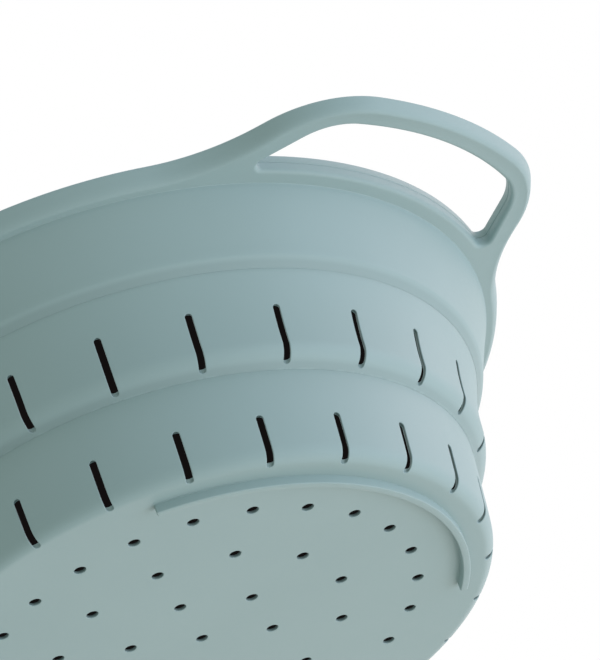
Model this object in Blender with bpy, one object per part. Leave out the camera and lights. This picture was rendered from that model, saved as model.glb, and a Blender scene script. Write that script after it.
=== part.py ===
"""Collapsible colander with two loop handles, in metres, +Z up, standing on its foot ribs at Z = 0.

The bowl is one soft moulding in three bands of one height, joined by two thin hinge webs.
Pushed down, the middle band turns inside out, so the base rises level with the upper crease.
A stiff frame with both handles lies in a moulded cover that wraps its outside and underside.
"""

import math

import bmesh
import bpy
from mathutils import Vector

# Bowl
band_height = 0.028
wall = 0.0014
base_thickness = 0.0013
foot_height = 0.0027

# The flat base, and how far the wall steps out from it on the way up
base_flat_radius = 0.0874
cup_corner_width = 0.0035
cup_flare = 0.0027
middle_shoulder_width = 0.0058
middle_flare = 0.0043
upper_shoulder_width = 0.0042
upper_flare = 0.0067
rim_overhang = 0.0054

# Heights of the rounded lower corner of each band, above its lower edge
cup_corner_height = 0.0040
middle_corner_height = 0.0059
upper_corner_height = 0.0070

# How far a wall bows out of the straight line between its ends
cup_bow = 0.0004
middle_bow = -0.0003

# Where each corner's tangents meet, as shares of its width and height
cup_corner_shares = (0.83, 0.06)
middle_corner_shares = (0.76, 0.40)
upper_corner_shares = (0.66, 0.46)

# Hinge webs
web_thickness = 0.0008
web_height = 0.0012
web_setback = 0.0003
fit_gap = 0.0003

# Drain slots and holes
slot_count = 24
slot_width = 0.0021
cup_slot_top = 0.0142
middle_slot_top = 0.0178
middle_slot_start = 0.0017
hole_radius = 0.0017
hole_margin = 0.0133
hole_ring_counts = (1, 6, 12, 24)

# Foot ribs
rib_setback = 0.0076
rib_width = 0.0023
rib_half_angle = math.radians(52.5)
rib_round = 0.0004

# Rim
rim_height = 0.0059
neck_height = 0.0221
frame_thickness = 0.0024
frame_setback = 0.0017
side_inset = 0.0043
side_shares = ((0.07, 0.0), (0.34, 0.22), (0.70, 0.58), (0.92, 0.84), (1.0, 1.0))
edge_round = 0.0004
lip_width = 0.0021

# Handles, in plan. Bows are shares of the rim's radius, and corners and arms of the handle's length
handle_length = 0.0283
handle_bow_share = 1.1
handle_corner_share = 1.254
handle_corner_start = math.radians(12.85)
handle_arm_normal = math.radians(68.9)
handle_arm_share = 0.113
handle_rise = 0.0014

# Openings between the rim and the handles, in plan
bar_width = 0.0075
opening_bow_share = 0.9333
opening_corner_share = 0.682
opening_corner_start = math.radians(16.3)
opening_arm_normal = math.radians(66.1)
opening_end_radius = 0.0022
seam_step = 0.0003
opening_round = 0.0012

# Facets
turn_steps = 60
corner_steps = 3
wall_steps = 2
overrun = 0.004
slot_steps = 3
hole_steps = 8
rim_steps = 10
merge_distance = 0.00001

cup_corner_radius = base_flat_radius + cup_corner_width
cup_top_radius = cup_corner_radius + cup_flare
middle_corner_radius = cup_top_radius + middle_shoulder_width
middle_top_radius = middle_corner_radius + middle_flare
upper_corner_radius = middle_top_radius + upper_shoulder_width
neck_radius = upper_corner_radius + upper_flare
rim_radius = neck_radius + rim_overhang
frame_bore = neck_radius - frame_setback
rib_inner_radius = base_flat_radius - rib_setback
hole_ring_pitch = (rib_inner_radius - hole_margin) / (len(hole_ring_counts) - 1)
handle_reach = rim_radius + handle_length
opening_reach = handle_reach - bar_width

base_z = foot_height
lower_crease_z = base_z + band_height
upper_crease_z = lower_crease_z + band_height
rim_under_z = upper_crease_z + neck_height
rim_top_z = rim_under_z + rim_height
frame_under_z = rim_top_z - frame_thickness
pocket_floor_z = frame_under_z - fit_gap
cover_bore = neck_radius + fit_gap
half_web = web_height / 2


def clear_scene():
    for item in list(bpy.data.objects):
        bpy.data.objects.remove(item, do_unlink=True)


def material(name, colour, roughness):
    made = bpy.data.materials.new(name)
    made.use_nodes = True
    shader = made.node_tree.nodes["Principled BSDF"]
    shader.inputs["Base Color"].default_value = (*colour, 1.0)
    shader.inputs["Roughness"].default_value = roughness
    shader.inputs["Metallic"].default_value = 0.0
    return made


def add_object(name, mesh, parent=None, finish=None):
    made = bpy.data.objects.new(name, mesh)
    bpy.context.scene.collection.objects.link(made)
    if finish:
        mesh.materials.append(finish)
    if parent:
        made.parent = parent
        made.matrix_parent_inverse = parent.matrix_world.inverted()
    return made


def add_carrier(name, height):
    """An empty on the bowl's axis that carries what slides along it."""
    made = bpy.data.objects.new(name, None)
    made.location = (0, 0, height)
    bpy.context.scene.collection.objects.link(made)
    bpy.context.view_layer.update()
    return made


# Profiles are lists of (radius, height)


def corner(start, end, shares):
    """A rounded corner from start to end, whose tangents meet at the given shares of the way."""
    control = [a + (b - a) * share for a, b, share in zip(start, end, shares)]
    points = []
    for step in range(corner_steps + 1):
        t = step / corner_steps
        points.append(
            tuple(
                a * (1 - t) ** 2 + c * 2 * t * (1 - t) + b * t**2
                for a, c, b in zip(start, control, end)
            )
        )
    return points


def bowed_wall(start, end, bow):
    """The wall between two points, bowed out by bow at its middle."""
    points = []
    steps = wall_steps if bow else 1
    for step in range(steps + 1):
        t = step / steps
        radius = start[0] + (end[0] - start[0]) * t + bow * 4 * t * (1 - t)
        points.append((radius, start[1] + (end[1] - start[1]) * t))
    return points


def inner_side(outer, thickness):
    """The line that lies thickness inside an outer line that runs down the wall."""
    points = []
    for index, (radius, height) in enumerate(outer):
        before = outer[max(index - 1, 0)]
        after = outer[min(index + 1, len(outer) - 1)]
        run = Vector((after[0] - before[0], after[1] - before[1])).normalized()
        points.append((radius + run.y * thickness, height - run.x * thickness))
    return points


def sleeve_side(outer, thickness):
    """The inner line of a band that slides over the one below, so it stays outside its own lower edge."""
    inner = inner_side(outer, thickness)
    inner[-1] = (outer[-1][0], inner[-1][1])
    return inner


def turned(name, profile, closed, parent, finish):
    """A body turned from a profile that runs down its outer side."""
    mesh = bpy.data.meshes.new(name)
    edges = [(i, i + 1) for i in range(len(profile) - 1)]
    if closed:
        edges.append((len(profile) - 1, 0))
    mesh.from_pydata([(radius, 0, height) for radius, height in profile], edges, [])
    made = add_object(name, mesh, parent, finish)
    screw = made.modifiers.new("turn", "SCREW")
    screw.steps = turn_steps
    screw.render_steps = turn_steps
    screw.use_merge_vertices = True
    screw.merge_threshold = merge_distance
    screw.use_smooth_shade = True
    return made


# Lofts


def loft(bm, rows, ring=False):
    """Closed loops of points joined one to the next, into a ring or with a cap at each end."""
    made = [[bm.verts.new(point) for point in row] for row in rows]
    pairs = list(zip(made, made[1:]))
    if ring:
        pairs.append((made[-1], made[0]))
    else:
        bm.faces.new(made[0])
        bm.faces.new(made[-1])
    for first, second in pairs:
        for i in range(len(first)):
            j = (i + 1) % len(first)
            bm.faces.new((first[i], first[j], second[j], second[i]))


def lofted(name, lofts, ring=False, parent=None, finish=None):
    """One object from one or more lofts, with its faces out."""
    bm = bmesh.new()
    for rows in lofts:
        loft(bm, rows, ring)
    bmesh.ops.recalc_face_normals(bm, faces=bm.faces)
    mesh = bpy.data.meshes.new(name)
    bm.to_mesh(mesh)
    bm.free()
    if finish:
        mesh.shade_smooth()
        mesh.set_sharp_from_angle(angle=math.radians(30))
    return add_object(name, mesh, parent, finish)


def combine(body, other, operation):
    """Cuts other out of body, or joins it on, and keeps other as a guide."""
    other.hide_render = True
    other.display_type = "WIRE"
    modifier = body.modifiers.new(other.name, "BOOLEAN")
    modifier.operation = operation
    modifier.object = other
    modifier.solver = "EXACT"


def polar(radius, angle, height):
    return Vector((radius * math.cos(angle), radius * math.sin(angle), height))


def slot_rows(angle, reach, low, high, far):
    """An upright bar from reach out to far, with a round top and a rounded inner end."""
    half = slot_width / 2
    section = [(-half, low), (half, low)]
    for step in range(slot_steps + 1):
        turn = math.pi * step / slot_steps
        section.append((half * math.cos(turn), high - half + half * math.sin(turn)))
    stations = []
    for turn in (math.pi / 6, math.pi / 2):
        stations.append((reach + half * (1 - math.cos(turn)), math.sin(turn)))
    stations.append((far, 1))
    along = polar(1, angle, 0)
    across = polar(1, angle + math.pi / 2, 0)
    rows = []
    for radius, share in stations:
        row = [along * radius + across * (side * share) for side, _ in section]
        rows.append([point + Vector((0, 0, z)) for point, (_, z) in zip(row, section)])
    return rows


def slot_cutter(name, reach, low, high, far, first_share):
    pitch = math.tau / slot_count
    return lofted(
        name,
        [
            slot_rows((index + first_share) * pitch, reach, low, high, far)
            for index in range(slot_count)
        ],
    )


def hole_cutter():
    """Round holes on rings of one pitch about the axis."""
    lofts = []
    for ring, count in enumerate(hole_ring_counts):
        for index in range(count):
            angle = math.tau * index / count
            centre = polar(ring * hole_ring_pitch, angle, 0)
            turns = [angle + math.tau * (k + 0.5) / hole_steps for k in range(hole_steps)]
            rows = []
            for height in (base_z - overrun, base_z + base_thickness + overrun):
                rows.append([centre + polar(hole_radius, turn, height) for turn in turns])
            lofts.append(rows)
    return lofted("base_holes", lofts)


def foot_ribs():
    """Two arcs under the base, one below each handle, with their lower edges rounded."""
    outer = rib_inner_radius + rib_width
    section = (
        (rib_inner_radius, base_z + base_thickness / 2),
        (rib_inner_radius, rib_round),
        (rib_inner_radius + rib_round, 0),
        (outer - rib_round, 0),
        (outer, rib_round),
        (outer, base_z + base_thickness / 2),
    )
    steps = round(turn_steps * rib_half_angle / math.tau)
    lofts = []
    for middle in (0, math.pi):
        angles = [middle + rib_half_angle * (2 * k / steps - 1) for k in range(steps + 1)]
        lofts.append([[polar(radius, angle, z) for radius, z in section] for angle in angles])
    return lofted("foot_ribs", lofts)


# Outlines in plan are lists of (point, outward normal)


def arc(centre, radius, first, last, steps, inward=False):
    """Points of an arc. With inward, the material lies outside the circle."""
    points = []
    for step in range(steps + 1):
        angle = first + (last - first) * step / steps
        normal = Vector((math.cos(angle), math.sin(angle)))
        points.append((centre + normal * radius, -normal if inward else normal))
    return points


def bow_and_corner(reach, bow_radius, corner_radius, corner_start, arm_normal):
    """The outer arc of a loop, its corner arc, and the distance of the straight arm from the axis."""
    bow_centre = Vector((reach - bow_radius, 0))
    to_corner = Vector((math.cos(corner_start), math.sin(corner_start)))
    corner_centre = bow_centre + to_corner * (bow_radius - corner_radius)
    points = arc(bow_centre, bow_radius, 0, corner_start, 3)
    points += arc(corner_centre, corner_radius, corner_start, arm_normal, 7)[1:]
    normal = Vector((math.cos(arm_normal), math.sin(arm_normal)))
    return points, corner_centre.dot(normal) + corner_radius


def arc_outside(point, normal, circle_radius):
    """The radius of the arc that leaves a point across its normal and runs smoothly onto a circle."""
    return (point.length_squared - circle_radius**2) / (2 * (circle_radius - point.dot(normal)))


def arc_beside(arm_normal, distance, circle_radius):
    """The centre on the near side that lies at a distance along the arm's normal and on a circle."""
    normal = Vector((math.cos(arm_normal), math.sin(arm_normal)))
    along = Vector((-normal.y, normal.x))
    return normal * distance - along * math.sqrt(circle_radius**2 - distance**2)


def rim_outline():
    """The rim with both handles, from quarter to quarter."""
    quarter, _ = bow_and_corner(
        handle_reach,
        handle_bow_share * rim_radius,
        handle_corner_share * handle_length,
        handle_corner_start,
        handle_arm_normal,
    )
    corner_end, normal = quarter[-1]
    arm_end = corner_end + Vector((-normal.y, normal.x)) * handle_arm_share * handle_length
    root_radius = arc_outside(arm_end, normal, rim_radius)
    centre = arm_end + normal * root_radius
    rim_start = math.atan2(centre.y, centre.x)
    quarter += arc(
        centre,
        root_radius,
        handle_arm_normal + math.pi,
        rim_start + math.pi,
        6,
        inward=True,
    )
    quarter += arc(Vector((0, 0)), rim_radius, rim_start, math.pi / 2, rim_steps)[1:]
    outline = []
    for sign_x, sign_y in ((1, 1), (-1, 1), (-1, -1), (1, -1)):
        turned_points = [
            (Vector((p.x * sign_x, p.y * sign_y)), Vector((n.x * sign_x, n.y * sign_y)))
            for p, n in quarter
        ]
        if sign_x * sign_y < 0:
            turned_points.reverse()
        outline += turned_points[:-1]
    return outline


def opening_outline(grow, step):
    """One opening, parallel to its outline by grow, with its edge on the rim set back by step."""
    half, arm = bow_and_corner(
        opening_reach,
        opening_bow_share * rim_radius,
        opening_corner_share * handle_length,
        opening_corner_start,
        opening_arm_normal,
    )
    half = [(p + n * grow, n) for p, n in half]
    edge_radius = rim_radius - step
    centre = arc_beside(
        opening_arm_normal, arm - opening_end_radius, edge_radius + opening_end_radius
    )
    edge_start = math.atan2(centre.y, centre.x)
    half += arc(
        centre,
        opening_end_radius + grow,
        opening_arm_normal,
        edge_start + math.pi,
        5,
    )
    half += arc(Vector((0, 0)), edge_radius - grow, edge_start, 0, 5, inward=True)[1:]
    points = [p for p, _ in half]
    return points + [Vector((p.x, -p.y)) for p in reversed(points[1:-1])]


def raised(point, height):
    return Vector((point.x, point.y, height))


def reach_share(point):
    """0 on the rim and 1 at the end of a handle, eased at both."""
    share = (point.length - rim_radius) / (handle_reach - rim_radius)
    share = min(max(share, 0), 1)
    return share * share * (3 - 2 * share)


def circle_row(outline, radius, height):
    return [raised(p.normalized() * radius, height) for p, _ in outline]


def inset_row(outline, inset, height):
    return [raised(p - n * inset, height) for p, n in outline]


def cover_side_row(outline, depth_share, inset_share):
    """A line round the sloping outside, at a share of the local height below the top."""
    row = []
    for point, normal in outline:
        height = rim_height - handle_rise * reach_share(point)
        inset = side_inset * inset_share * height / rim_height
        row.append(raised(point - normal * inset, rim_top_z - height * depth_share))
    return row


def cover_under_z(radius):
    """The height of the cover's underside, which rises a little towards the handles' ends."""
    bar_edge = handle_reach - side_inset
    return rim_under_z + handle_rise * (radius - cover_bore) / (bar_edge - cover_bore)


def cover_opening_rows(side):
    """A cutter for one opening whose foot flares, so that it leaves a rounded lower edge."""
    stations = [(fit_gap / 2, None)]
    for turn in (0, math.pi / 6, math.pi / 3, math.pi / 2):
        grow = opening_round * (1 - math.cos(turn))
        stations.append((fit_gap / 2 + grow, opening_round * (1 - math.sin(turn))))
    stations.append((fit_gap / 2 + opening_round, -overrun))
    rows = []
    for grow, above in stations:
        row = []
        for point in opening_outline(grow, seam_step):
            height = rim_top_z + overrun
            if above is not None:
                height = cover_under_z(point.length) + above
            row.append(Vector((point.x * side, point.y, height)))
        rows.append(row)
    return rows


def frame_opening_rows(side):
    points = opening_outline(0, 0)
    heights = (rim_top_z + overrun, frame_under_z - overrun)
    return [[Vector((p.x * side, p.y, height)) for p in points] for height in heights]


def build_rim_cover(parent, finish):
    """The moulded cover: an outer lip, a sloping outside, and a flat underside with both openings."""
    outline = rim_outline()
    rows = [
        inset_row(outline, lip_width, rim_top_z),
        inset_row(outline, edge_round, rim_top_z),
    ]
    rows += [cover_side_row(outline, *shares) for shares in side_shares]
    rows += [
        circle_row(outline, cover_bore, rim_under_z),
        circle_row(outline, cover_bore, pocket_floor_z),
        inset_row(outline, lip_width, pocket_floor_z),
    ]
    cover = lofted("rim_cover", [rows], True, parent, finish)
    combine(cover, lofted("cover_openings", [cover_opening_rows(s) for s in (1, -1)]), "DIFFERENCE")
    return cover


def build_rim_frame(parent, finish):
    """The stiff frame in the cover's pocket, a flat ring that carries both handles."""
    outline = rim_outline()
    inset = lip_width + fit_gap
    rows = [
        inset_row(outline, inset + edge_round, rim_top_z),
        inset_row(outline, inset, rim_top_z - edge_round),
        inset_row(outline, inset, frame_under_z),
        circle_row(outline, frame_bore, frame_under_z),
        circle_row(outline, frame_bore, rim_top_z - edge_round),
        circle_row(outline, frame_bore + edge_round, rim_top_z),
    ]
    frame = lofted("rim_frame", [rows], True, parent, finish)
    combine(frame, lofted("frame_openings", [frame_opening_rows(s) for s in (1, -1)]), "DIFFERENCE")
    return frame


def build_upper_band(parent, finish):
    """The plain band, from its neck under the rim frame down to the upper crease."""
    low = (middle_top_radius + fit_gap, upper_crease_z + half_web + fit_gap)
    elbow = (upper_corner_radius, upper_crease_z + upper_corner_height)
    neck = (neck_radius, rim_under_z)
    outer = [(neck_radius, pocket_floor_z), neck]
    outer += bowed_wall(neck, elbow, 0)[1:]
    outer += reversed(corner(low, elbow, upper_corner_shares)[:-1])
    inner = sleeve_side(outer, wall)
    inner[0] = (frame_bore, pocket_floor_z)
    inner[1] = (frame_bore, rim_under_z + wall)
    return turned("upper_band", outer + inner[::-1], True, parent, finish)


def build_web(name, radius, height, parent, finish):
    """A thin ring on which the wall folds."""
    outer = radius - web_setback
    inner = outer - web_thickness
    profile = [
        (outer, height + half_web),
        (outer, height - half_web),
        (inner, height - half_web),
        (inner, height + half_web),
    ]
    return turned(name, profile, True, parent, finish)


def build_middle_band(parent, finish):
    """The slotted band that turns inside out."""
    top = (middle_top_radius, upper_crease_z - half_web - fit_gap)
    elbow = (middle_corner_radius, lower_crease_z + middle_corner_height)
    low = (cup_top_radius + fit_gap, lower_crease_z + half_web)
    outer = bowed_wall(top, elbow, middle_bow)
    outer += reversed(corner(low, elbow, middle_corner_shares)[:-1])
    band = turned("middle_band", outer + sleeve_side(outer, wall)[::-1], True, parent, finish)
    cutter = slot_cutter(
        "middle_slots",
        cup_top_radius + middle_slot_start,
        lower_crease_z - overrun,
        lower_crease_z + middle_slot_top,
        middle_top_radius + overrun,
        0.5,
    )
    combine(band, cutter, "DIFFERENCE")
    return band


def build_lower_cup(finish):
    """The slotted lower band with the perforated base and its two foot ribs."""
    top = (cup_top_radius, lower_crease_z - half_web - fit_gap)
    elbow = (cup_corner_radius, base_z + cup_corner_height)
    outer = bowed_wall(top, elbow, cup_bow)
    outer += reversed(corner((base_flat_radius, base_z), elbow, cup_corner_shares)[:-1])
    inner = inner_side(outer, wall)
    inner[-1] = (inner[-1][0], base_z + base_thickness)
    profile = [(0, base_z + base_thickness)] + inner[::-1] + outer + [(0, base_z)]
    cup = turned("lower_cup", profile, False, None, finish)
    combine(cup, foot_ribs(), "UNION")
    cutter = slot_cutter(
        "cup_slots",
        base_flat_radius,
        base_z - overrun,
        base_z + cup_slot_top,
        cup_top_radius + overrun,
        0,
    )
    combine(cup, cutter, "DIFFERENCE")
    combine(cup, hole_cutter(), "DIFFERENCE")
    return cup


def main():
    clear_scene()
    sage = (0.36, 0.45, 0.45)
    sage_frame = (0.38, 0.47, 0.47)
    rim_slide = add_carrier("rim_slide", rim_top_z)
    middle_slide = add_carrier("middle_slide", upper_crease_z)
    build_lower_cup(material("cup_rubber", sage, 0.6))
    build_web("lower_hinge", cup_top_radius, lower_crease_z, None, material("lower_web", sage, 0.6))
    build_middle_band(middle_slide, material("middle_rubber", sage, 0.6))
    build_web(
        "upper_hinge", middle_top_radius, upper_crease_z, rim_slide, material("upper_web", sage, 0.6)
    )
    build_upper_band(rim_slide, material("upper_rubber", sage, 0.6))
    build_rim_cover(rim_slide, material("cover_rubber", sage, 0.6))
    build_rim_frame(rim_slide, material("frame_plastic", sage_frame, 0.5))


main()
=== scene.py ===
"""Looks of the collapsible colander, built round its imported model. Lengths are in metres."""

import math

import bmesh
import bpy
import numpy as np
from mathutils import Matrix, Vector
from mathutils.geometry import delaunay_2d_cdt


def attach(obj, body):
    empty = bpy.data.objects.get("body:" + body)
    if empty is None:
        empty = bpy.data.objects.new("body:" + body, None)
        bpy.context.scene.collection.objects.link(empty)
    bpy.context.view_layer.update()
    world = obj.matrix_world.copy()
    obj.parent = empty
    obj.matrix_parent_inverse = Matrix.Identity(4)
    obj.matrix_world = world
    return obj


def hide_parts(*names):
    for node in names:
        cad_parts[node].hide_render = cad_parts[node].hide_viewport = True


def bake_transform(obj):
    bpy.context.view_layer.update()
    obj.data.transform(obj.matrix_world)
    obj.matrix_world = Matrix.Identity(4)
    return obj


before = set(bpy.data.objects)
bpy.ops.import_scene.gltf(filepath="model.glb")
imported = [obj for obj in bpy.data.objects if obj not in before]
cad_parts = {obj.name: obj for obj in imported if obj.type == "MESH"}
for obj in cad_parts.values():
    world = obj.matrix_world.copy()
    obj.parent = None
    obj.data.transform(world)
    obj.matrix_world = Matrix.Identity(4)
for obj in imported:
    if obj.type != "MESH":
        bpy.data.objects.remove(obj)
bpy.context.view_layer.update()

# Bowl. The walls are 0.3 to 0.4 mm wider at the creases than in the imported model

band_height = 0.028
wall = 0.0014
base_thickness = 0.0013
base_z = 0.0027
base_flat_radius = 0.0874
cup_corner_radius = 0.0912
cup_top_radius = 0.0939
middle_corner_radius = 0.0997
middle_top_radius = 0.1041
upper_corner_radius = 0.1079
neck_radius = 0.1146
crease_drop = 0.00015
lower_crease_z = base_z + band_height - crease_drop
upper_crease_z = lower_crease_z + band_height
rim_under_z = 0.0808
rim_top_z = 0.0867
frame_under_z = 0.0843
fit_gap = 0.0003
pocket_floor_z = frame_under_z - fit_gap
cover_bore = neck_radius + fit_gap
seam_gap = 0.00003
seam_z = frame_under_z - seam_gap
frame_inset = 0.0017
frame_bore = neck_radius - frame_inset

# Drain slots and holes

slot_count = 24
slot_half = 0.00105
cup_slot_rise = 0.0142
cup_slot_top_z = base_z + cup_slot_rise
middle_slot_rise = 0.0177
middle_slot_top_z = lower_crease_z + middle_slot_rise
middle_slot_reach = 0.0953
hole_radius = 0.00178
hole_ring_pitch = 0.02217
hole_ring_counts = (1, 6, 12, 24)

# Rim and handles

rim_radius = 0.1200
handle_reach = 0.1483
side_inset = 0.0043
lip_width = 0.0021
handle_rise = 0.0014
seam_step = 0.0003


# Meshes


weld_distance = 3e-6
sharp_angle = math.radians(38)
flat_scale = 1000  # flat regions are triangulated in millimetres
flat_tolerance = 1e-5
border_clearance_share = 0.5
lattice_row_share = math.sqrt(0.75)
least_rise = 1e-12


class Skin:
    """Collects the patches of one piece, which are welded into one mesh."""

    def __init__(self):
        self.points = []
        self.faces = []
        self.painted_shade = {}

    def add(self, points, painted_shade=0.0):
        """Keeps the points, and how much painted shade darkens the material at each of them."""
        start = len(self.points)
        self.points.extend(np.asarray(points, float).reshape(-1, 3).tolist())
        made = np.arange(start, len(self.points))
        if np.any(painted_shade):
            each = np.broadcast_to(painted_shade, len(made))
            self.painted_shade.update(zip(made.tolist(), each.tolist()))
        return made

    def strip(self, first, second, closed=False):
        """Faces between two rows of points that are already kept."""
        count = len(first)
        for i in range(count if closed else count - 1):
            j = (i + 1) % count
            self.faces.append((first[i], first[j], second[j], second[i]))

    def grid(self, rows, closed=False, painted_shade=None):
        """Faces over rows of points that match one to one."""
        made = [self.add(row, dark) for row, dark in zip(rows, painted_shade or [0.0] * len(rows))]
        for first, second in zip(made, made[1:]):
            self.strip(first, second, closed)
        return made

    def turned(self, section, azimuths, painted_shade=None):
        """The surface of a section of (radius, height) points turned about the bowl's axis."""
        self.grid([ring(radius, z, azimuths) for radius, z in section], True, painted_shade)

    def cap(self, row):
        """One face inside a closed row of points."""
        self.faces.append(tuple(self.add(row)))

    def fill(self, loops, height, spacing):
        """Triangles over the flat region between an outer loop and the holes in it."""
        loops = [np.asarray(loop, float)[:, :2] for loop in loops]
        border = np.concatenate(loops)
        low, high = border.min(0), border.max(0)
        xs = np.arange(low[0], high[0], spacing)
        ys = np.arange(low[1], high[1], spacing * lattice_row_share)
        free = np.array([(x + spacing / 2 * (j % 2), y) for j, y in enumerate(ys) for x in xs])
        free = free[inside(free, loops)]
        away = np.min(np.linalg.norm(free[:, None, :] - border[None, :, :], axis=2), axis=1)
        free = free[away > spacing * border_clearance_share]
        points = np.concatenate([border, free]) * flat_scale
        edges, start = [], 0
        for loop in loops:
            count = len(loop)
            edges += [(start + i, start + (i + 1) % count) for i in range(count)]
            start += count
        flat = [Vector(p) for p in points]
        made, _, faces, _, _, _ = delaunay_2d_cdt(flat, edges, [], 0, flat_tolerance)
        made = np.array([tuple(p) for p in made]) / flat_scale
        triangles = np.array([f for f in faces if len(f) == 3])
        triangles = triangles[inside(made[triangles].mean(1), loops)]
        index = self.add(np.column_stack([made, height(made)]))
        self.faces += [tuple(index[t]) for t in triangles]

    def piece(self, name, finish):
        """Welds the patches into one mesh and puts it in the scene."""
        mesh = bpy.data.meshes.new(name)
        bm = bmesh.new()
        # each point's painted shade, which the material reads
        layer = bm.verts.layers.float.new("painted_shade")
        verts = [bm.verts.new(p) for p in self.points]
        for index, value in self.painted_shade.items():
            verts[index][layer] = value
        for face in self.faces:
            bm.faces.new([verts[i] for i in face])
        bmesh.ops.remove_doubles(bm, verts=bm.verts, dist=weld_distance)
        bmesh.ops.recalc_face_normals(bm, faces=bm.faces)
        bm.to_mesh(mesh)
        bm.free()
        mesh.shade_smooth()
        mesh.set_sharp_from_angle(angle=sharp_angle)
        mesh.materials.append(finish)
        made = bpy.data.objects.new(name, mesh)
        bpy.context.scene.collection.objects.link(made)
        return made


def inside(points, loops):
    """Which points lie inside an odd number of the loops."""
    count = np.zeros(len(points), int)
    x, y = points[:, 0:1], points[:, 1:2]
    for loop in loops:
        a, b = loop, np.roll(loop, -1, axis=0)
        rises = (a[:, 1] > y) != (b[:, 1] > y)
        rise = np.where(b[:, 1] == a[:, 1], least_rise, b[:, 1] - a[:, 1])
        slope = (b[:, 0] - a[:, 0]) / rise
        count += np.sum(rises & (x < a[:, 0] + slope * (y - a[:, 1])), axis=1)
    return count % 2 == 1


def level(z):
    """A height function for fill() that gives the same height everywhere."""
    return lambda points: np.full(len(points), z)


def circle(steps):
    """The azimuths of evenly spaced points all the way round."""
    return np.linspace(0, math.tau, steps + 1)[:-1]


def ring(radius, z, azimuths):
    azimuths = np.asarray(azimuths)
    return np.column_stack(
        [radius * np.cos(azimuths), radius * np.sin(azimuths), np.full(len(azimuths), z)]
    )


def quarter_round(radius, steps=4):
    """(set back, depth) from where a rounding leaves the surface to where it ends on the edge."""
    turns = np.linspace(0, math.pi / 2, steps + 1)
    return [(radius * (1 - math.sin(t)), radius * (1 - math.cos(t))) for t in turns]


# Walls


def bezier(start, end, shares, steps=16):
    """A curve whose one control point lies at the shares of the way from start to end."""
    start, end = np.array(start), np.array(end)
    control = start + (end - start) * np.array(shares)
    t = np.linspace(0, 1, steps + 1)[:, None]
    return start * (1 - t) ** 2 + control * 2 * t * (1 - t) + end * t**2


def bowed(start, end, bow, steps=16):
    """A line that is bow wider in its middle than a straight one."""
    t = np.linspace(0, 1, steps + 1)[:, None]
    line = np.array(start) * (1 - t) + np.array(end) * t
    line[:, 0] += bow * 4 * t[:, 0] * (1 - t[:, 0])
    return line


line_step = 0.0001
line_soften = 0.0004
# painted shade on the ledge above a crease: full up to ledge_reach, gone ledge_fade further on
ledge_painted_shade = 0.13
ledge_reach = 0.0021
ledge_fade = 0.0011


class Wall:
    """A wall's outer line, run from its lower end up, with points set in from it."""

    # ledge says whether the line gets painted shade on the ledge above its lower crease
    def __init__(self, parts, ledge=False):
        self.ledge = ledge
        line = np.concatenate([parts[0]] + [part[1:] for part in parts[1:]])
        along = np.concatenate([[0], np.cumsum(np.hypot(*np.diff(line, axis=0).T))])
        self.v = np.linspace(0, along[-1], int(along[-1] / line_step) + 1)
        r = np.interp(self.v, along, line[:, 0])
        z = np.interp(self.v, along, line[:, 1])
        half = int(line_soften / line_step)
        kernel = np.hanning(2 * half + 3)[1:-1]
        kernel /= kernel.sum()
        self.r, self.z = (self.soft(a, half, kernel) for a in (r, z))
        tr, tz = np.gradient(self.r), np.gradient(self.z)
        size = np.hypot(tr, tz)
        self.nr, self.nz = tz / size, -tr / size

    @staticmethod
    def soft(a, half, kernel):
        """A running average that leaves both ends where they are."""
        before = a[0] - (a[1 : half + 1][::-1] - a[0])
        after = a[-1] - (a[-half - 1 : -1][::-1] - a[-1])
        return np.convolve(np.concatenate([before, a, after]), kernel, "valid")

    @property
    def end(self):
        return self.v[-1]

    def at(self, v, depth):
        """(radius, height) at a distance along the line and a depth into the wall."""
        r, z, nr, nz = (np.interp(v, self.v, a) for a in (self.r, self.z, self.nr, self.nz))
        return r - depth * nr, z - depth * nz

    def radius(self, v):
        return np.interp(v, self.v, self.r)

    def painted_shade(self, v):
        """Painted shade on the ledge just above a crease, fading out further up."""
        past = (np.asarray(v, float) - ledge_reach) / ledge_fade
        return ledge_painted_shade * self.ledge * (1 - np.clip(past, 0, 1))

    def where_radius(self, radius):
        """How far along the line a radius is reached."""
        return float(np.interp(radius, self.r, self.v))

    def where_height(self, z):
        """How far along the line a height is reached."""
        return float(np.interp(z, self.z, self.v))


lip_rise = 0.0005
lip_edge = 0.0001


def lip(skin, line, radius, z, azimuths):
    """A wall's top, which stands a little above its crease, from the outer to the inner face."""
    outer, inner = line.at(line.end, 0), line.at(line.end, wall)
    section = [
        outer,
        (radius, z + lip_rise - lip_edge),
        (radius - lip_edge, z + lip_rise),
        (inner[0] + lip_edge, z + lip_rise),
        (inner[0], z + lip_rise - lip_edge),
        inner,
    ]
    skin.turned(section, azimuths)


fold_gap = 0.00004
fold_lap = 0.0005


def fold_under(radius, z):
    """How a band's lower end laps over the top of the band below, from its inside to its outside."""
    return [
        (radius - wall, z + fold_lap + fold_gap),
        (radius - fold_gap, z + fold_lap + fold_gap),
        (radius + fold_gap, z + fold_lap),
    ]


# Slotted walls


ring_steps = 16  # of each rounded end of a slot
side_steps = 16  # along a slot
plain_columns = 4  # from a slot's box to its sector's side
slot_margin = 0.0009
edge_outer = 0.00018
edge_inner = 0.00015
edge_support = 0.00006
slot_flare = 0.0006
slot_lift = 0.0007
slot_land = 0.00045
# painted shade inside a slot, the share of it at the slot's lower end, and how far up it grows to full
slot_painted_shade = 0.8
slot_foot_painted_shade = 0.15
foot_reach = 0.0022
cup_first_share = 0.0
middle_first_share = 0.5


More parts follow.
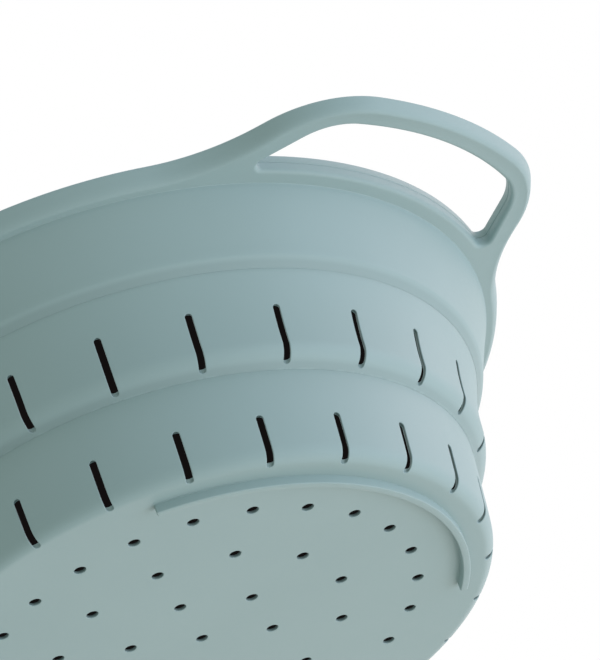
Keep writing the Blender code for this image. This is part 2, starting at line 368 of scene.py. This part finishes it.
class SlotPatch:
    """One sector of a slotted wall: a grid with a round-ended slot in its middle.

    v is a distance up the wall's outer line, and s a distance across it from the slot's middle.
    The slot's straight sides run from foot to head, and its box is the part of the grid it is cut in.
    """

    def __init__(self, line, thickness, slot_low, slot_high, rows_low, rows_high):
        self.line, self.thickness = line, thickness
        self.foot, self.head = slot_low + slot_half, slot_high - slot_half
        self.box = slot_half + slot_margin  # half as wide as the box
        quarter = ring_steps // 4
        rise = self.box * np.tan(np.linspace(0, math.pi / 4, quarter + 1))
        straight = np.linspace(self.foot, self.head, side_steps + 1)
        self.side_v = np.concatenate([self.foot - rise[:0:-1], straight, self.head + rise[1:]])
        below = np.linspace(0, self.foot - self.box, rows_low + 1)[:-1]
        above = np.linspace(self.head + self.box, line.end, rows_high + 1)[1:]
        self.rows = np.concatenate([below, self.side_v, above])
        self.first = len(below)
        self.across = np.concatenate([-rise[:0:-1], rise])
        self.outside = np.linspace(0, 1, plain_columns + 1)[1:]

    def column_s(self, v):
        """Where the grid's columns are across the sector, at one height."""
        half = self.line.radius(v) * math.pi / slot_count
        out = self.box + (half - self.box) * self.outside
        return np.concatenate([-out[::-1], self.across, out])

    def place(self, s, v, depth, azimuth):
        """Points at s and v and a depth into the wall, in the sector at an azimuth."""
        s, v = np.broadcast_arrays(np.asarray(s, float), np.asarray(v, float))
        r, z = self.line.at(v, depth)
        turn = azimuth + s / self.line.radius(v)
        return np.column_stack([r * np.cos(turn), r * np.sin(turn), z])

    def depth(self, v, share):
        """How deep into the wall a share of its thickness is."""
        return share * self.thickness(np.asarray(v, float))

    def slot_inside_painted_shade(self, v):
        """Painted shade inside the slot, lighter at its lower end, where light reaches in."""
        rise = (v - self.foot + slot_half) / foot_reach
        return slot_painted_shade * np.clip(slot_foot_painted_shade + rise, slot_foot_painted_shade, 1)

    def loop(self, set_back, share=0.0):
        """The slot's outline grown by set_back, at a share of the way to its inner one."""
        radius = slot_half + set_back
        flare = share * slot_flare
        foot = self.foot + share * slot_lift
        straight = np.linspace(foot, self.head, side_steps + 1)
        turns = np.linspace(0, math.pi, ring_steps + 1)
        s = np.concatenate(
            [
                np.full(side_steps, radius + flare),
                (radius + flare) * np.cos(turns[:-1]),
                np.full(side_steps, -radius - flare),
                -(radius + flare) * np.cos(turns[:-1]),
            ]
        )
        v = np.concatenate(
            [
                straight[:-1],
                self.head + radius * np.sin(turns[:-1]),
                straight[:0:-1],
                foot - radius * np.sin(turns[:-1]),
            ]
        )
        return s, v

    def box_sides(self):
        """The grid's rows and columns on which the slot's box begins and ends."""
        left = len(self.outside)
        return self.first, self.first + len(self.side_v) - 1, left, left + len(self.across) - 1

    def box_loop(self, grid):
        """The grid's points round the slot's box, in the order of loop()."""
        quarter = ring_steps // 4
        low, high, left, right = self.box_sides()
        made = [(row, right) for row in range(low + quarter, high + 1)]
        made += [(high, column) for column in range(right - 1, left - 1, -1)]
        made += [(row, left) for row in range(high - 1, low - 1, -1)]
        made += [(low, column) for column in range(left + 1, right + 1)]
        made += [(row, right) for row in range(low + 1, low + quarter)]
        return np.array([grid[row][column] for row, column in made])

    def sheet(self, skin, azimuth, share, edge, sign):
        """The wall's outer face (share 0) or inner face (share 1). Returns the end of its rounding."""
        grid = []
        for v in self.rows:
            row = self.place(self.column_s(v), v, self.depth(v, share), azimuth)
            # on the outer face, here and in the slot's rounding below, the ledge above the crease gets
            # painted shade
            grid.append(skin.add(row, (1 - share) * self.line.painted_shade(v)))
        low, high, left, right = self.box_sides()
        for i in range(len(grid) - 1):
            for j in range(len(grid[0]) - 1):
                if low <= i < high and left <= j < right:
                    continue
                skin.faces.append((grid[i][j], grid[i][j + 1], grid[i + 1][j + 1], grid[i + 1][j]))
        before = self.box_loop(grid)
        for set_back, sunk in [(edge + edge_support, 0.0)] + quarter_round(edge):
            s, v = self.loop(set_back, share)
            place = self.place(s, v, self.depth(v, share) + sign * sunk, azimuth)
            here = skin.add(place, (1 - share) * self.line.painted_shade(v))
            skin.strip(before, here, True)
            before = here
        return before

    def build(self, skin, first_share):
        """All sectors, of which the first stands at a share of the pitch from +X."""
        for index in range(slot_count):
            azimuth = (index + first_share) * math.tau / slot_count
            outer = self.sheet(skin, azimuth, 0.0, edge_outer, 1)
            inner = self.sheet(skin, azimuth, 1.0, edge_inner, -1)
            s, v = self.loop(0.0)
            # the middle of the slot's side wall is darkened by painted shade
            land = skin.add(self.place(s, v, slot_land, azimuth), self.slot_inside_painted_shade(v))
            skin.strip(outer, land, True)
            skin.strip(land, inner, True)

    def azimuths(self, v, first_share):
        """The columns' azimuths all the way round at one height."""
        turns = self.column_s(v)[:-1] / self.line.radius(v)
        pitch = math.tau / slot_count
        return np.concatenate([(i + first_share) * pitch + turns for i in range(slot_count)])


# Materials


cloud_scale, cloud_detail, cloud_share = 22.0, 3.0, 0.65
fine_scale, fine_detail, fine_share = 900.0, 2.0, 0.35
grain_scale, grain_detail, grain_height = 1500.0, 3.0, 0.0001
noise_low, noise_high = 0.3, 0.7
sheen_spread = 0.04
# the colour at full painted shade, as a share of the dark tone
painted_shade_tone = 0.12


def principled(name, roughness):
    made = bpy.data.materials.new(name)
    made.use_nodes = True
    shader = made.node_tree.nodes["Principled BSDF"]
    shader.inputs["Roughness"].default_value = roughness
    return made, made.node_tree.nodes, made.node_tree.links, shader


def noise(nodes, links, where, scale, detail):
    made = nodes.new("ShaderNodeTexNoise")
    made.inputs["Scale"].default_value = scale
    made.inputs["Detail"].default_value = detail
    links.new(where, made.inputs["Vector"])
    return made.outputs["Fac"]


def ranged(nodes, links, value, low, high):
    """A noise value stretched to run from low to high."""
    made = nodes.new("ShaderNodeMapRange")
    made.inputs["From Min"].default_value = noise_low
    made.inputs["From Max"].default_value = noise_high
    made.inputs["To Min"].default_value = low
    made.inputs["To Max"].default_value = high
    links.new(value, made.inputs["Value"])
    return made.outputs["Result"]


def moulded(name, dark, light, roughness, grain):
    """Matt moulded rubber or plastic: a faint cloudy tone, a fine grain and an uneven sheen, with
    painted shade from a mesh attribute that darkens it in creases, slots and holes.
    """
    made, nodes, links, shader = principled(name, roughness)
    where = nodes.new("ShaderNodeTexCoord").outputs["Object"]
    cloud = noise(nodes, links, where, cloud_scale, cloud_detail)
    fine = noise(nodes, links, where, fine_scale, fine_detail)

    tone = nodes.new("ShaderNodeMix")
    tone.data_type = "RGBA"
    tone.inputs["A"].default_value = (*dark, 1)
    tone.inputs["B"].default_value = (*light, 1)
    mixed = nodes.new("ShaderNodeMath")
    mixed.operation = "MULTIPLY_ADD"
    mixed.inputs[1].default_value = fine_share
    links.new(fine, mixed.inputs[0])
    links.new(ranged(nodes, links, cloud, 0.0, cloud_share), mixed.inputs[2])
    links.new(mixed.outputs[0], tone.inputs["Factor"])

    # painted shade: the colour is mixed towards a dark tone as far as the mesh's attribute says
    shaded = nodes.new("ShaderNodeMix")
    shaded.data_type = "RGBA"
    shaded.inputs["B"].default_value = (*(painted_shade_tone * part for part in dark), 1)
    painted_shade = nodes.new("ShaderNodeAttribute")
    painted_shade.attribute_name = "painted_shade"
    links.new(painted_shade.outputs["Fac"], shaded.inputs["Factor"])
    links.new(tone.outputs["Result"], shaded.inputs["A"])
    links.new(shaded.outputs["Result"], shader.inputs["Base Color"])

    sheen = ranged(nodes, links, fine, roughness - sheen_spread, roughness + sheen_spread)
    links.new(sheen, shader.inputs["Roughness"])
    bump = nodes.new("ShaderNodeBump")
    bump.inputs["Strength"].default_value = grain
    bump.inputs["Distance"].default_value = grain_height
    links.new(noise(nodes, links, where, grain_scale, grain_detail), bump.inputs["Height"])
    links.new(bump.outputs["Normal"], shader.inputs["Normal"])
    return made


rubber = moulded(
    "sage_rubber",
    dark=(0.305, 0.408, 0.402),
    light=(0.325, 0.430, 0.424),
    roughness=0.55,
    grain=0.12,
)
plastic = moulded(
    "sage_plastic",
    dark=(0.310, 0.412, 0.406),
    light=(0.330, 0.434, 0.428),
    roughness=0.45,
    grain=0.06,
)


# Lower cup


flat_margin = 0.0022
flat_start = base_flat_radius - flat_margin
cup_elbow_out = 0.0001
cup_elbow_rise = 0.0040
cup_corner_shares = (0.80, 0.08)
cup_bow = 0.0001
cup_thin_reach = 0.004
cup_thick_reach = 0.010
plain_spacing = 0.006


def thick_cup(v):
    """The cup's thickness, which is the base's below the corner and the wall's above it."""
    return np.interp(v, [0, cup_thin_reach, cup_thick_reach], [base_thickness, base_thickness, wall])


def build_lower_cup():
    """The lower ring of slots, the perforated base and the two foot ribs."""
    skin = Skin()
    flat_end = (base_flat_radius, base_z)
    elbow = (cup_corner_radius + cup_elbow_out, base_z + cup_elbow_rise)
    crease = (cup_top_radius, lower_crease_z)
    line = Wall(
        [
            np.array([(flat_start, base_z), flat_end]),
            bezier(flat_end, elbow, cup_corner_shares),
            bowed(elbow, crease, cup_bow),
        ]
    )
    slot_low, slot_high = line.where_radius(base_flat_radius), line.where_height(cup_slot_top_z)
    patch = SlotPatch(line, thick_cup, slot_low, slot_high, rows_low=2, rows_high=8)
    patch.build(skin, cup_first_share)
    around = patch.azimuths(line.end, cup_first_share)
    lip(skin, line, cup_top_radius, lower_crease_z, around)
    holes = [hole_rows(skin, centre) for centre in hole_centres()]
    edge = ring(flat_start, 0, patch.azimuths(0, cup_first_share))
    for z in (base_z, base_z + base_thickness):
        skin.fill([edge] + holes, level(z), plain_spacing)
    made = skin.piece("cup", rubber)
    ribs = Skin()
    for azimuth in (0, math.pi):
        foot_rib(ribs, azimuth)
    return joined(made, ribs.piece("ribs", rubber))


def joined(body, other):
    """Both meshes in one object."""
    bm = bmesh.new()
    bm.from_mesh(body.data)
    bm.from_mesh(other.data)
    bm.to_mesh(body.data)
    bm.free()
    bpy.data.objects.remove(other)
    return body


def hole_centres():
    made = []
    for order, count in enumerate(hole_ring_counts):
        radius = order * hole_ring_pitch
        for index in range(count):
            turn = math.tau * index / count
            made.append((radius * math.cos(turn), radius * math.sin(turn)))
    return made


hole_columns = 24
hole_edge = 0.0002
# painted shade in each hole, darkest at the top of its wall
hole_painted_shade = 0.75


def hole_rows(skin, centre):
    """The rounded wall of one hole. Returns the loop at which the flat base begins."""
    edge = [(hole_radius + hole_edge + edge_support, 0.0)]
    edge += [(hole_radius + back, sunk) for back, sunk in quarter_round(hole_edge)]
    section = [(r, base_z + sunk) for r, sunk in edge]
    section += [(r, base_z + base_thickness - sunk) for r, sunk in reversed(edge)]
    # painted shade on the hole's wall, growing towards the base's inner face
    painted_shade = [0.0] * len(section)
    painted_shade[len(edge)] = hole_painted_shade
    rows = [ring(r, z, circle(hole_columns)) + (*centre, 0) for r, z in section]
    skin.grid(rows, True, painted_shade)
    return rows[0]


rib_inner, rib_outer = 0.0798, 0.0821
rib_middle = (rib_inner + rib_outer) / 2
rib_half_angle = math.radians(52.5)
rib_edge = 0.00035
rib_root = 0.00005
rib_overlap = 0.0008
rib_seam = 0.00001
rib_end_margin = 0.0010
rib_steps = 72


def rib_section(inset):
    """Across a rib, from the base down its inner side and up its outer side, inset all round."""
    made = [(rib_inner - rib_root, base_z + rib_overlap), (rib_inner - rib_root, base_z + rib_seam)]
    for back, sunk in quarter_round(rib_root):
        made.append((rib_inner + inset - back, base_z - sunk))
    for back, sunk in quarter_round(rib_edge):
        made.append((rib_inner + inset + sunk, inset + back))
    return made + [(2 * rib_middle - r, z) for r, z in reversed(made)]


def foot_rib(skin, azimuth):
    """A curved rib with rounded ends, whose middle is at the azimuth."""
    end = rib_half_angle * rib_middle
    rounded = []
    for sunk, back in reversed(quarter_round(rib_edge, steps=3)):
        rounded.append((end - (rib_edge - sunk), rib_edge - back))
    straight_end = end - rib_end_margin
    places = [(-s, inset) for s, inset in reversed(rounded)]
    places += [(s, 0.0) for s in np.linspace(-straight_end, straight_end, rib_steps + 1)]
    places += rounded
    rows = []
    for s, inset in places:
        turn = azimuth + s / rib_middle
        rows.append([(r * math.cos(turn), r * math.sin(turn), z) for r, z in rib_section(inset)])
    skin.grid(rows, True)
    skin.cap(rows[0])
    skin.cap(rows[-1])


# Folding middle band


middle_ledge_out = 0.0026
middle_ledge_rise = 0.0017
middle_elbow_in = 0.0005
middle_elbow_rise = 0.0055
middle_corner_shares = (0.77, 0.38)
middle_bow = -0.0009


def even_wall(v):
    """The middle band's thickness, which is the same all over."""
    return np.full_like(v, wall)


def build_middle_band():
    """The middle ring of slots, whose first slot stands half a pitch round."""
    skin = Skin()
    low = (cup_top_radius + fold_gap, lower_crease_z)
    ledge = (low[0] + middle_ledge_out, lower_crease_z + middle_ledge_rise)
    elbow = (middle_corner_radius - middle_elbow_in, lower_crease_z + middle_elbow_rise)
    high = (middle_top_radius, upper_crease_z)
    line = Wall(
        [
            np.array([low, ledge]),
            bezier(ledge, elbow, middle_corner_shares),
            bowed(elbow, high, middle_bow),
        ],
        ledge=True,
    )
    slot_low, slot_high = line.where_radius(middle_slot_reach), line.where_height(middle_slot_top_z)
    patch = SlotPatch(line, even_wall, slot_low, slot_high, rows_low=1, rows_high=8)
    patch.build(skin, middle_first_share)
    under = [line.at(0, wall), *fold_under(cup_top_radius, lower_crease_z), line.at(0, 0)]
    skin.turned(under, patch.azimuths(0, middle_first_share))
    around = patch.azimuths(line.end, middle_first_share)
    lip(skin, line, middle_top_radius, upper_crease_z, around)
    return skin.piece("fold", rubber)


# Upper band


upper_ledge_out = 0.0028
upper_ledge_rise = 0.0027
upper_elbow_out = 0.0001
upper_elbow_rise = 0.0056
upper_corner_shares = (0.42, 0.34)
upper_neck_shares = (0.38, 0.42)
neck_fillet = 0.00028
neck_lap = 0.0002
shoulder_reach = 0.009
shoulder_steps = 27
neck_steps = 15
upper_columns = 288


def build_upper_band():
    """The plain band, whose neck runs up inside the rim's cover to the frame."""
    skin = Skin()
    low = (middle_top_radius + fold_gap, upper_crease_z)
    ledge = (low[0] + upper_ledge_out, upper_crease_z + upper_ledge_rise)
    elbow = (upper_corner_radius + upper_elbow_out, upper_crease_z + upper_elbow_rise)
    neck = (neck_radius, rim_under_z - neck_fillet)
    line = Wall(
        [
            np.array([low, ledge]),
            bezier(ledge, elbow, upper_corner_shares),
            bezier(elbow, neck, upper_neck_shares),
        ],
        ledge=True,
    )
    shoulder = np.linspace(0, shoulder_reach, shoulder_steps + 1)
    v = np.concatenate([shoulder[:-1], np.linspace(shoulder_reach, line.end, neck_steps + 1)])
    rows = [line.at(x, 0) for x in v[:-1]]
    rows += [(neck_radius + sunk, rim_under_z - back) for back, sunk in quarter_round(neck_fillet)]
    rows += [
        (neck_radius + neck_fillet, rim_under_z + neck_lap),
        (neck_radius, rim_under_z + neck_lap),
        (neck_radius, pocket_floor_z),
        (frame_bore, pocket_floor_z),
        (frame_bore, rim_under_z + wall),
    ]
    rows += [line.at(x, wall) for x in v[::-1]]
    rows += fold_under(middle_top_radius, upper_crease_z) + [rows[0]]
    # painted shade on the ledge above the upper crease, on the outer face only
    painted_shade = [float(line.painted_shade(x)) for x in v[:-1]]
    painted_shade += [0.0] * (len(rows) - len(v))
    painted_shade.append(painted_shade[0])
    skin.turned(rows, circle(upper_columns), painted_shade)
    return skin.piece("shoulder", rubber)


# Rim and handles, in plan. Outlines are arrays of points and of outward normals


handle_bow_radius = 0.132
handle_corner_radius = 0.03549
handle_corner_start = math.radians(12.85)
handle_arm_normal = math.radians(68.9)
handle_arm_length = 0.0032

opening_reach = 0.1408
opening_bow_radius = 0.112
opening_corner_radius = 0.0193
opening_corner_start = math.radians(16.3)
opening_arm_normal = math.radians(66.1)
opening_end_radius = 0.0022
opening_arm_points = 7


def unit(angle):
    return np.array([math.cos(angle), math.sin(angle)])


def square_to(direction):
    """The direction a quarter turn to the left."""
    return np.array([-direction[1], direction[0]])


def arc(centre, radius, first, last, steps, inward=False):
    """An arc's points and normals, which point to its centre where inward is set."""
    turns = np.linspace(first, last, steps + 1)
    normals = np.column_stack([np.cos(turns), np.sin(turns)])
    return centre + normals * radius, -normals if inward else normals


def chain(parts):
    """Parts of an outline put end to end, without the points that two of them share."""
    points = np.concatenate([parts[0][0]] + [p[1:] for p, _ in parts[1:]])
    normals = np.concatenate([parts[0][1]] + [n[1:] for _, n in parts[1:]])
    return points, normals


def bow_and_corner(reach, bow_radius, corner_radius, corner_start, arm_normal):
    """A handle's bow and corner, and how far the straight arm that follows passes from the axis."""
    bow_centre = np.array([reach - bow_radius, 0])
    corner_centre = bow_centre + unit(corner_start) * (bow_radius - corner_radius)
    parts = [
        arc(bow_centre, bow_radius, 0, corner_start, steps=10),
        arc(corner_centre, corner_radius, corner_start, arm_normal, steps=22),
    ]
    return parts, corner_centre @ unit(arm_normal) + corner_radius


def rim_outline():
    """The rim with both handles, from one quarter and its mirror images."""
    parts, _ = bow_and_corner(
        handle_reach,
        handle_bow_radius,
        handle_corner_radius,
        handle_corner_start,
        handle_arm_normal,
    )
    normal = unit(handle_arm_normal)
    arm_start = parts[-1][0][-1]
    arm_end = arm_start + square_to(normal) * handle_arm_length
    root = (arm_end @ arm_end - rim_radius**2) / (2 * (rim_radius - arm_end @ normal))
    centre = arm_end + normal * root
    start = math.atan2(centre[1], centre[0])
    parts.append((np.array([arm_start, arm_end]), np.array([normal, normal])))
    first, last = handle_arm_normal + math.pi, start + math.pi
    parts.append(arc(centre, root, first, last, steps=18, inward=True))
    parts.append(arc(np.zeros(2), rim_radius, start, math.pi / 2, steps=36))
    points, normals = chain(parts)
    all_points, all_normals = [], []
    for sx, sy in ((1, 1), (-1, 1), (-1, -1), (1, -1)):
        p, n = points * (sx, sy), normals * (sx, sy)
        if sx * sy < 0:
            p, n = p[::-1], n[::-1]
        all_points.append(p[:-1])
        all_normals.append(n[:-1])
    return np.concatenate(all_points), np.concatenate(all_normals)


def opening_outline(grow, side):
    """The opening of the handle on one side (1 or -1), grown by grow."""
    parts, arm = bow_and_corner(
        opening_reach,
        opening_bow_radius,
        opening_corner_radius,
        opening_corner_start,
        opening_arm_normal,
    )
    parts = [(p + n * grow, n) for p, n in parts]
    edge_radius = rim_radius - seam_step
    normal = unit(opening_arm_normal)
    distance, circle_radius = arm - opening_end_radius, edge_radius + opening_end_radius
    centre = normal * distance - square_to(normal) * math.sqrt(circle_radius**2 - distance**2)
    start = math.atan2(centre[1], centre[0])
    first = centre + normal * (opening_end_radius + grow)
    corner_end = parts[-1][0][-1]
    share = np.linspace(0, 1, opening_arm_points)[:, None]
    normals = np.repeat(normal[None], opening_arm_points, axis=0)
    parts.append((corner_end + (first - corner_end) * share, normals))
    last = start + math.pi
    parts.append(arc(centre, opening_end_radius + grow, opening_arm_normal, last, steps=12))
    parts.append(arc(np.zeros(2), edge_radius - grow, start, 0, steps=16, inward=True))
    points, _ = chain(parts)
    return np.concatenate([points, (points * (1, -1))[-2:0:-1]]) * (side, 1)


def with_height(points, z):
    """Points of a plan put at one height, or each at its own."""
    return np.column_stack([points, np.broadcast_to(z, len(points))])


# Rim cover


# Down the cover's rounded side, as shares of side_inset and of the cover's height
side_shares = [(0.0, 0.07), (0.045, 0.17), (0.105, 0.29), (0.16, 0.40)]
side_shares += bezier((0.20, 0.48), (0.80, 1.0), (0.40, 0.93), steps=10).tolist()
side_last_share = 0.88
most_rise_share = 1.1

lip_round = 0.0002
lip_round_middle = 0.00006
cover_edge_round = 0.00005
bore_columns = 240
opening_grow = 0.00015
opening_round = 0.0012
opening_support = 0.0003
seam_round = 0.00003
cover_spacing = 0.0035


def under_z(points):
    """The height of the cover's underside, which rises a little towards the handles' ends."""
    radius = np.linalg.norm(points, axis=1)
    share = (radius - cover_bore) / (handle_reach - side_inset - cover_bore)
    return rim_under_z + handle_rise * np.clip(share, 0, most_rise_share)


def build_rim_cover():
    """The soft layer round the frame's outside and underside."""
    skin = Skin()
    points, normals = rim_outline()
    height = rim_top_z - under_z(points - normals * side_inset)
    scale = (height / (rim_top_z - rim_under_z))[:, None]
    lip_section = [
        (lip_width, seam_z),
        (lip_width, rim_top_z - lip_round),
        (lip_width - lip_round_middle, rim_top_z - lip_round_middle),
        (lip_width - lip_round, rim_top_z),
        (2 * lip_round, rim_top_z),
        (lip_round, rim_top_z - cover_edge_round),
        (lip_round_middle, rim_top_z - lip_round),
    ]
    rows = [with_height(points - normals * inset, z) for inset, z in lip_section]
    for back, down in side_shares:
        place = points - normals * side_inset * back * scale
        rows.append(with_height(place, rim_top_z - height * down))
    last = points - normals * side_inset * side_last_share * scale
    rows.append(with_height(last, under_z(last)))
    skin.grid(rows, True)
    bore = ring(cover_bore, 0, circle(bore_columns))[:, :2]
    skin.grid([with_height(bore, under_z(bore)), with_height(bore, seam_z)], True)
    flare = [(opening_grow + opening_round + opening_support, 0.0)]
    flare += [(opening_grow + back, sunk) for back, sunk in quarter_round(opening_round, steps=6)]
    lower, upper = [], []
    for side in (1, -1):
        made = []
        for grow, above in flare:
            loop = opening_outline(grow, side)
            made.append(with_height(loop, under_z(loop) + above))
        for back, sunk in reversed(quarter_round(seam_round, steps=2)):
            made.append(with_height(opening_outline(opening_grow + back, side), seam_z - sunk))
        skin.grid(made, True)
        lower.append(made[0])
        upper.append(made[-1])
    skin.fill([rows[-1], bore] + lower, under_z, cover_spacing)
    skin.fill([rows[0], bore] + upper, level(seam_z), cover_spacing)
    return skin.piece("rim_soft", rubber)


# Rim frame


frame_edge = 0.0003
frame_support = 0.0002
frame_opening_grow = 0.00002


def build_rim_frame():
    """The stiff flat ring inside the cover, with its rounded edges."""
    skin = Skin()
    points, normals = rim_outline()
    outer = lip_width + fit_gap
    rounding = quarter_round(frame_edge, steps=3)
    section = [(frame_edge + frame_support, frame_under_z)]
    section += [(back, frame_under_z + sunk) for back, sunk in rounding]
    section += [(back, rim_top_z - sunk) for back, sunk in reversed(rounding)]
    section.append((frame_edge + frame_support, rim_top_z))
    rows = [with_height(points - normals * (outer + back), z) for back, z in section]
    skin.grid(rows, True)
    bore = [ring(frame_bore + back, z, circle(bore_columns)) for back, z in section]
    skin.grid(bore, True)
    lower, upper = [rows[0], bore[0]], [rows[-1], bore[-1]]
    for side in (1, -1):
        made = []
        for back, z in section:
            made.append(with_height(opening_outline(back + frame_opening_grow, side), z))
        skin.grid(made, True)
        lower.append(made[0])
        upper.append(made[-1])
    skin.fill(lower, level(frame_under_z), plain_spacing)
    skin.fill(upper, level(rim_top_z), plain_spacing)
    return skin.piece("rim_stiff", plastic)


# Pieces on their bodies


def dress(piece, body, slot, *nodes):
    """Puts a piece on its body, in place of its nodes. The slot is not used."""
    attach(piece, body)
    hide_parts(*nodes)


dress(build_lower_cup(), "base", "cup_rubber", "lower_cup")
dress(build_upper_band(), "rim", "upper_rubber", "upper_band")
dress(build_rim_cover(), "rim", "cover_rubber", "rim_cover")
dress(build_rim_frame(), "rim", "frame_plastic", "rim_frame")

fold = build_middle_band()
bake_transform(fold)
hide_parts("middle_band", "upper_hinge", "lower_hinge")


# Camera


camera_lens = 203.9  # this and the sensor's width are in millimetres
camera_sensor = 36
camera_clip = (0.01, 100)
camera_place = (0.59646, -0.76236, -0.51522)
camera_turn = (0.480618, 0.775314, 0.405536, 0.058606)


def build_camera():
    data = bpy.data.cameras.new("camera")
    data.lens = camera_lens
    data.sensor_width = camera_sensor
    data.clip_start, data.clip_end = camera_clip
    made = bpy.data.objects.new("camera", data)
    made.location = camera_place
    made.rotation_mode = "QUATERNION"
    made.rotation_quaternion = camera_turn
    bpy.context.scene.collection.objects.link(made)
    bpy.context.scene.camera = made


# Floor, and painted shade inside the bowl


floor_half = 6.0
floor_tone = 0.86
floor_roughness = 0.8
shade_colour = (0.006, 0.005, 0.005)
shade_columns = 96
# (radius, height, body) of the sheets across the bowl
mouth_shade = (0.1118, 0.0865, "rim")
upper_crease_shade = (0.1010, 0.0595, "middle")
lower_crease_shade = (0.0910, 0.0315, "base")
hole_shade_lap = 0.0001
hole_shade_drop = 0.0003


def one_sided(nodes, links, front, back):
    """A surface that shows one shader on its front and the other on its back."""
    mix = nodes.new("ShaderNodeMixShader")
    side = nodes.new("ShaderNodeNewGeometry")
    links.new(side.outputs["Backfacing"], mix.inputs["Fac"])
    links.new(front.outputs[0], mix.inputs[1])
    links.new(back.outputs[0], mix.inputs[2])
    return mix.outputs["Shader"]


def without_light(piece):
    """A piece that the camera sees, but that throws no light, reflection or shadow on others."""
    piece.visible_diffuse = False
    piece.visible_glossy = False
    piece.visible_shadow = False
    return piece


def build_floor():
    """A pale floor that is seen from above only, and leaves the light from below alone."""
    skin = Skin()
    near, far = -floor_half, floor_half
    skin.grid([[(near, near, 0), (far, near, 0)], [(near, far, 0), (far, far, 0)]])
    made, nodes, links, shader = principled("floor_paint", floor_roughness)
    shader.inputs["Base Color"].default_value = (floor_tone, floor_tone, floor_tone, 1)
    surface = one_sided(nodes, links, shader, nodes.new("ShaderNodeBsdfTransparent"))
    links.new(surface, nodes["Material Output"].inputs["Surface"])
    without_light(skin.piece("floor", made))


def face_up(sheet):
    """Turns the front of every face upwards."""
    bm = bmesh.new()
    bm.from_mesh(sheet.data)
    for face in bm.faces:
        if face.normal.z < 0:
            face.normal_flip()
    bm.to_mesh(sheet.data)
    bm.free()
    return sheet


def shade_material():
    """Black from below and clear from above."""
    made = bpy.data.materials.new("shade")
    made.use_nodes = True
    nodes, links = made.node_tree.nodes, made.node_tree.links
    nodes.clear()
    out = nodes.new("ShaderNodeOutputMaterial")
    black = nodes.new("ShaderNodeEmission")
    black.inputs["Color"].default_value = (*shade_colour, 1)
    surface = one_sided(nodes, links, nodes.new("ShaderNodeBsdfTransparent"), black)
    links.new(surface, out.inputs["Surface"])
    return made


def build_shades():
    """Black sheets of painted shade across the bowl and over its holes, which stand for the shaded
    inside.
    """
    made = shade_material()
    for radius, z, body in (mouth_shade, upper_crease_shade, lower_crease_shade):
        skin = Skin()
        skin.cap(ring(radius, z, circle(shade_columns)))
        shade = without_light(face_up(skin.piece("shade_" + body, made)))
        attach(shade, body)
    skin = Skin()
    hole_shade_z = base_z + base_thickness - hole_shade_drop
    disc = ring(hole_radius + hole_shade_lap, hole_shade_z, circle(hole_columns))
    for x, y in hole_centres():
        skin.cap(disc + (x, y, 0))
    face_up(skin.piece("hole_shades", made))


# Light


room_colour = (0.433, 0.499, 0.480)
room_strength = 1.0
lamp_distance = 1.6
lamp_size = 1.4
lamp_power = 20
lamp_target = (0, 0, 0.045)


def build_world():
    """Even light from all round, and white where the camera or a reflection looks past the object."""
    world = bpy.data.worlds.new("room")
    bpy.context.scene.world = world
    world.use_nodes = True
    nodes, links = world.node_tree.nodes, world.node_tree.links
    room = nodes["Background"]
    room.inputs["Color"].default_value = (*room_colour, 1)
    room.inputs["Strength"].default_value = room_strength
    seen = nodes.new("ShaderNodeBackground")
    seen.inputs["Color"].default_value = (1, 1, 1, 1)
    seen.inputs["Strength"].default_value = 1.0
    path = nodes.new("ShaderNodeLightPath")
    either = nodes.new("ShaderNodeMath")
    either.operation = "MAXIMUM"
    links.new(path.outputs["Is Camera Ray"], either.inputs[0])
    links.new(path.outputs["Is Glossy Ray"], either.inputs[1])
    mix = nodes.new("ShaderNodeMixShader")
    links.new(either.outputs[0], mix.inputs["Fac"])
    links.new(room.outputs["Background"], mix.inputs[1])
    links.new(seen.outputs["Background"], mix.inputs[2])
    links.new(mix.outputs["Shader"], nodes["World Output"].inputs["Surface"])


def add_lamp(name, azimuth, elevation, colour):
    """A soft square lamp that looks at the bowl. Azimuth is from +X, both in degrees."""
    data = bpy.data.lights.new(name, "AREA")
    data.shape = "SQUARE"
    data.size = lamp_size
    data.energy = lamp_power
    data.color = colour
    made = bpy.data.objects.new(name, data)
    a, e = math.radians(azimuth), math.radians(elevation)
    way = Vector((math.cos(a) * math.cos(e), math.sin(a) * math.cos(e), math.sin(e)))
    made.location = Vector(lamp_target) + way * lamp_distance
    made.rotation_mode = "QUATERNION"
    made.rotation_quaternion = way.to_track_quat("Z", "Y")
    bpy.context.scene.collection.objects.link(made)


build_camera()
build_floor()
build_shades()
build_world()
add_lamp("front_low", 20, -15, (0.370, 0.436, 0.564))
add_lamp("key", 50, -50, (0.519, 0.493, 0.510))
add_lamp("right", 50, 20, (0.354, 0.244, 0.250))
add_lamp("back_low", 110, -15, (0.211, 0.154, 0.142))
add_lamp("top", 0, 60, (0.212, 0.244, 0.344))


bpy.context.scene.view_settings.view_transform = "Standard"
